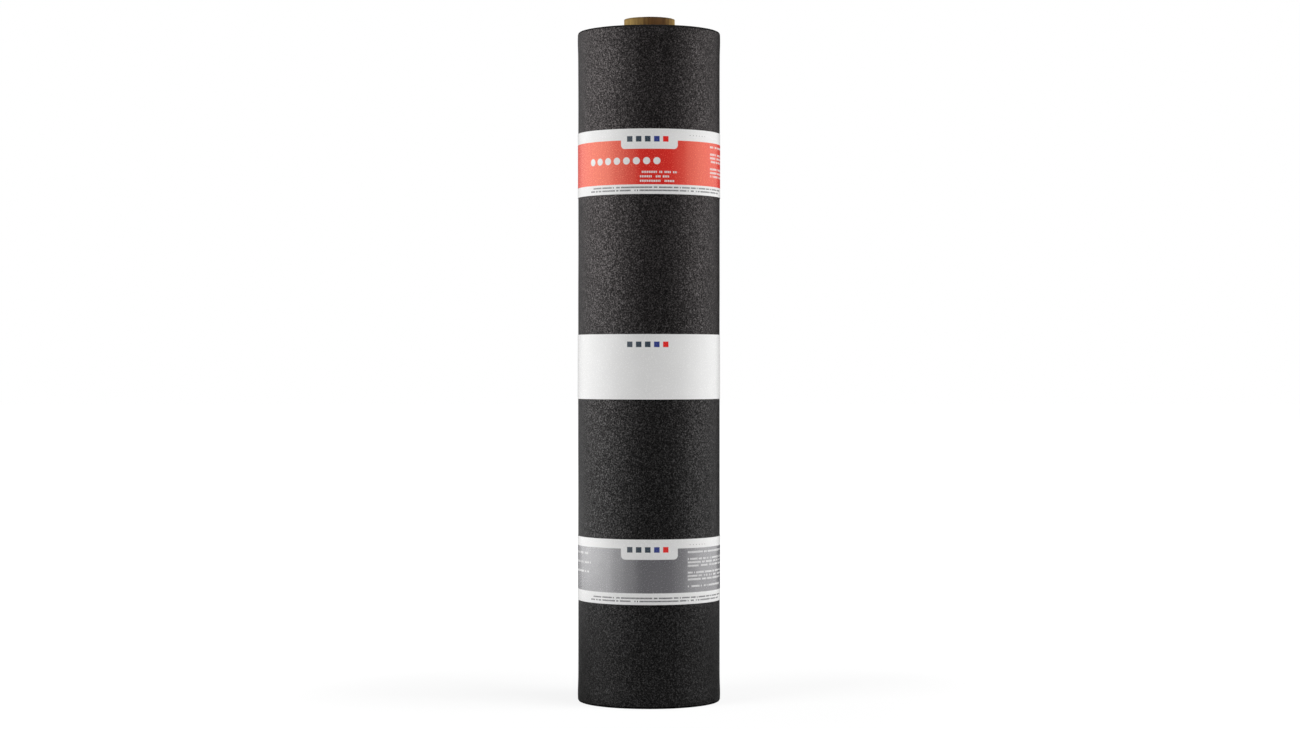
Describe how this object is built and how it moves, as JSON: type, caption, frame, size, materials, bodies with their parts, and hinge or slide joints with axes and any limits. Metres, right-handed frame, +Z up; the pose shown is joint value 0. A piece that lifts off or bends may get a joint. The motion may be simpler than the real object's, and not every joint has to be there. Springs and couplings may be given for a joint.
{
  "type": "roll of roofing felt",
  "caption": "Upright roll of black mineral-surfaced roofing felt wound on a cardboard tube and held by plain paper bands.",
  "frame": {"origin": "on the tube's axis, in the plane of the roll's lower end, which it stands on", "axes": "+Z up along the tube; the printed side of the bands faces -Y; the sheet's tail edge and the bands' laps are on the +Y side"},
  "size_m": [0.2133, 0.2147, 1.02],
  "materials": {
    "felt": "bitumen sheet faced with fine black mineral granules, matt with small glints",
    "cardboard": "spirally wound brown kraft board, matt",
    "paper_red": "white paper printed red, with a soft gloss",
    "paper_white": "white paper, with a soft gloss",
    "paper_grey": "white paper printed grey, with a soft gloss"
  },
  "bodies": {
    "root": {"felt_roll": "felt", "core_tube": "cardboard", "top_band": "paper_red", "middle_band": "paper_white", "bottom_band": "paper_grey"}
  },
  "joints": []
}
